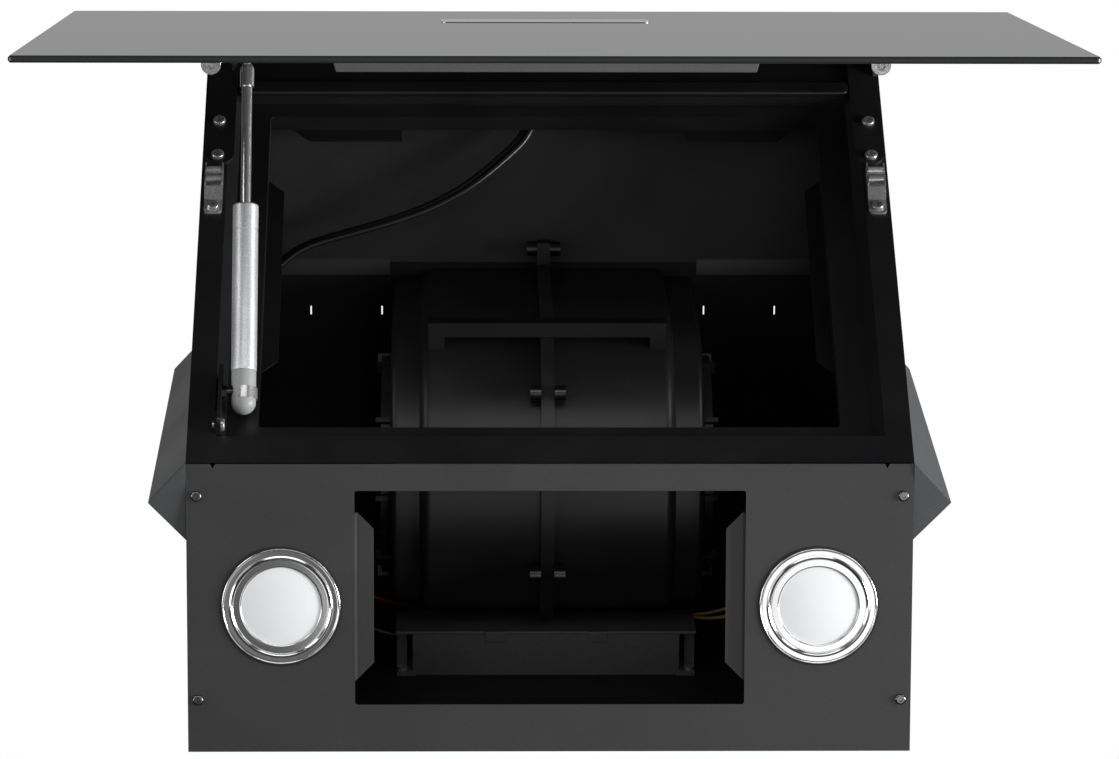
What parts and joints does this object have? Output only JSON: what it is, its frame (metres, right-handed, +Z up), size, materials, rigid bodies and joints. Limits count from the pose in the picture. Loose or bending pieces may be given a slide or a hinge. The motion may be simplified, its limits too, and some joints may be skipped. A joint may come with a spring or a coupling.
{
  "type": "range hood",
  "caption": "Inclined wall range hood with a glass front swung open on a gas strut, a lit lower plate, a drum blower and a round duct spigot.",
  "frame": {"origin": "middle of the four wall fixings, on the wall face of the back panel", "axes": "+X to the right for someone who stands in the room and faces the hood, +Y into the wall, +Z up"},
  "size_m": [0.595, 0.4295, 0.4485],
  "materials": {
    "shell_black": "satin black paint on sheet steel",
    "wing_grey": "satin dark grey paint",
    "frame_black": "satin black paint on pressed steel",
    "plate_black": "fine satin black-grey paint",
    "arm_black": "satin black paint on thick steel",
    "bright_screw": "zinc-plated screws and pins",
    "dark_screw": "blackened button-head screws",
    "lamp_metal": "turned and brushed lamp rings",
    "lamp_white": "frosted white lens",
    "lamp_can": "pressed lamp cans",
    "black_glass": "toughened glass painted black behind",
    "window_grey": "plain lighter printed field",
    "housing_grey": "grey moulded cover",
    "board_green": "touch board",
    "catch_zinc": "bright plated catch parts",
    "strut_silver": "sparkling silver-grey paint on the cylinder",
    "strut_chrome": "hard chrome rod and its end fitting",
    "socket_grey": "light grey moulded ball socket",
    "blower_black": "glossy black moulded housing",
    "boss_steel": "darkened bolts",
    "fan_black": "black moulded fan",
    "motor_steel": "pressed steel motor can",
    "duct_black": "black moulded spigot and flaps",
    "wire_red": "red insulated wire",
    "wire_pale": "yellow and white insulated wires",
    "lead_black": "black sleeved leads"
  },
  "bodies": {
    "hood": {"back_panel": "shell_black", "blower_bar": "blower_black", "blower_flange_screws": "boss_steel", "control_leads": "lead_black", "corner_brackets": "shell_black", "electronics_box": "blower_black", "electronics_lid": "blower_black", "electronics_screws": "bright_screw", "frame_rib": "frame_black", "front_frame": "frame_black", "lamp_housings": "lamp_can", "lamp_plate": "plate_black", "lamp_plate_screws": "dark_screw", "left_blower_shell": "blower_black", "left_catch_body": "catch_zinc", "left_hinge_arm": "arm_black", "left_inlet_ring": "blower_black", "left_lamp_lens": "lamp_white", "left_lamp_ring": "lamp_metal", "left_side_panel": "shell_black", "left_wing_cover": "wing_grey", "motor": "motor_steel", "outlet_collar": "duct_black", "pale_wires": "wire_pale", "pan_screws": "bright_screw", "rear_roof": "shell_black", "red_wire": "wire_red", "right_blower_shell": "blower_black", "right_catch_body": "catch_zinc", "right_hinge_arm": "arm_black", "right_inlet_ring": "blower_black", "right_lamp_lens": "lamp_white", "right_lamp_ring": "lamp_metal", "right_side_panel": "shell_black", "right_wing_cover": "wing_grey", "sloped_roof": "shell_black", "strut_foot_ball": "bright_screw", "strut_foot_bracket": "arm_black"},
    "glass": {"glass_panel": "black_glass", "control_housing": "housing_grey", "control_board": "board_green", "control_window": "window_grey", "catch_strikers": "catch_zinc", "striker_screws": "bright_screw", "hinge_leaves": "arm_black", "hinge_pins": "bright_screw", "strut_top_bracket": "arm_black"},
    "strut_tube": {"strut_cylinder": "strut_silver", "strut_socket": "socket_grey", "strut_clip": "catch_zinc"},
    "strut_piston": {"strut_rod": "strut_chrome", "strut_eye": "strut_chrome"},
    "fan_drum": {"fan": "fan_black"},
    "front_flap": {"front_outlet_flap": "duct_black"},
    "back_flap": {"back_outlet_flap": "duct_black"},
    "right_upper_wheel": {"right_upper_roller": "catch_zinc"},
    "right_lower_wheel": {"right_lower_roller": "catch_zinc"},
    "left_upper_wheel": {"left_upper_roller": "catch_zinc"},
    "left_lower_wheel": {"left_lower_roller": "catch_zinc"}
  },
  "joints": [
    {"name": "glass_hinge", "type": "hinge", "parent": "hood", "child": "glass", "pos_m": [0, -0.3498, 0.17408], "axis": [1, 0, 0], "range_deg": [0, 37.2], "stiffness_Nm_per_rad": 2, "springref_deg": -57.3},
    {"name": "strut_pivot", "type": "hinge", "parent": "hood", "child": "strut_tube", "pos_m": [-0.178, -0.19971, -0.0869], "axis": [1, 0, 0], "range_deg": [-27.4, 0]},
    {"name": "strut_slide", "type": "slide", "parent": "strut_tube", "child": "strut_piston", "axis": [0, -0.8564, 0.5163], "range_m": [-0.0602, 0]},
    {"name": "fan_spin", "type": "hinge", "parent": "hood", "child": "fan_drum", "pos_m": [0, -0.117, 0.035], "axis": [1, 0, 0], "continuous": true},
    {"name": "front_flap_hinge", "type": "hinge", "parent": "hood", "child": "front_flap", "pos_m": [0, -0.1298, 0.1539], "axis": [1, 0, 0], "range_deg": [-78, 0]},
    {"name": "back_flap_hinge", "type": "hinge", "parent": "hood", "child": "back_flap", "pos_m": [0, -0.1182, 0.1539], "axis": [1, 0, 0], "range_deg": [0, 78]},
    {"name": "right_upper_spring", "type": "slide", "parent": "hood", "child": "right_upper_wheel", "axis": [0, -0.4695, 0.8829], "range_m": [0, 0.001], "stiffness_N_per_m": 3000, "springref_m": -0.001},
    {"name": "right_lower_spring", "type": "slide", "parent": "hood", "child": "right_lower_wheel", "axis": [0, -0.4695, 0.8829], "range_m": [-0.001, 0], "stiffness_N_per_m": 3000, "springref_m": 0.001},
    {"name": "left_upper_spring", "type": "slide", "parent": "hood", "child": "left_upper_wheel", "axis": [0, -0.4695, 0.8829], "range_m": [0, 0.001], "stiffness_N_per_m": 3000, "springref_m": -0.001},
    {"name": "left_lower_spring", "type": "slide", "parent": "hood", "child": "left_lower_wheel", "axis": [0, -0.4695, 0.8829], "range_m": [-0.001, 0], "stiffness_N_per_m": 3000, "springref_m": 0.001}
  ],
  "couplings": [
    {"joint": "strut_pivot", "follows": "glass_hinge", "ratio": -0.73542},
    {"joint": "strut_slide", "follows": "glass_hinge", "m_per_rad": -0.092524}
  ]
}
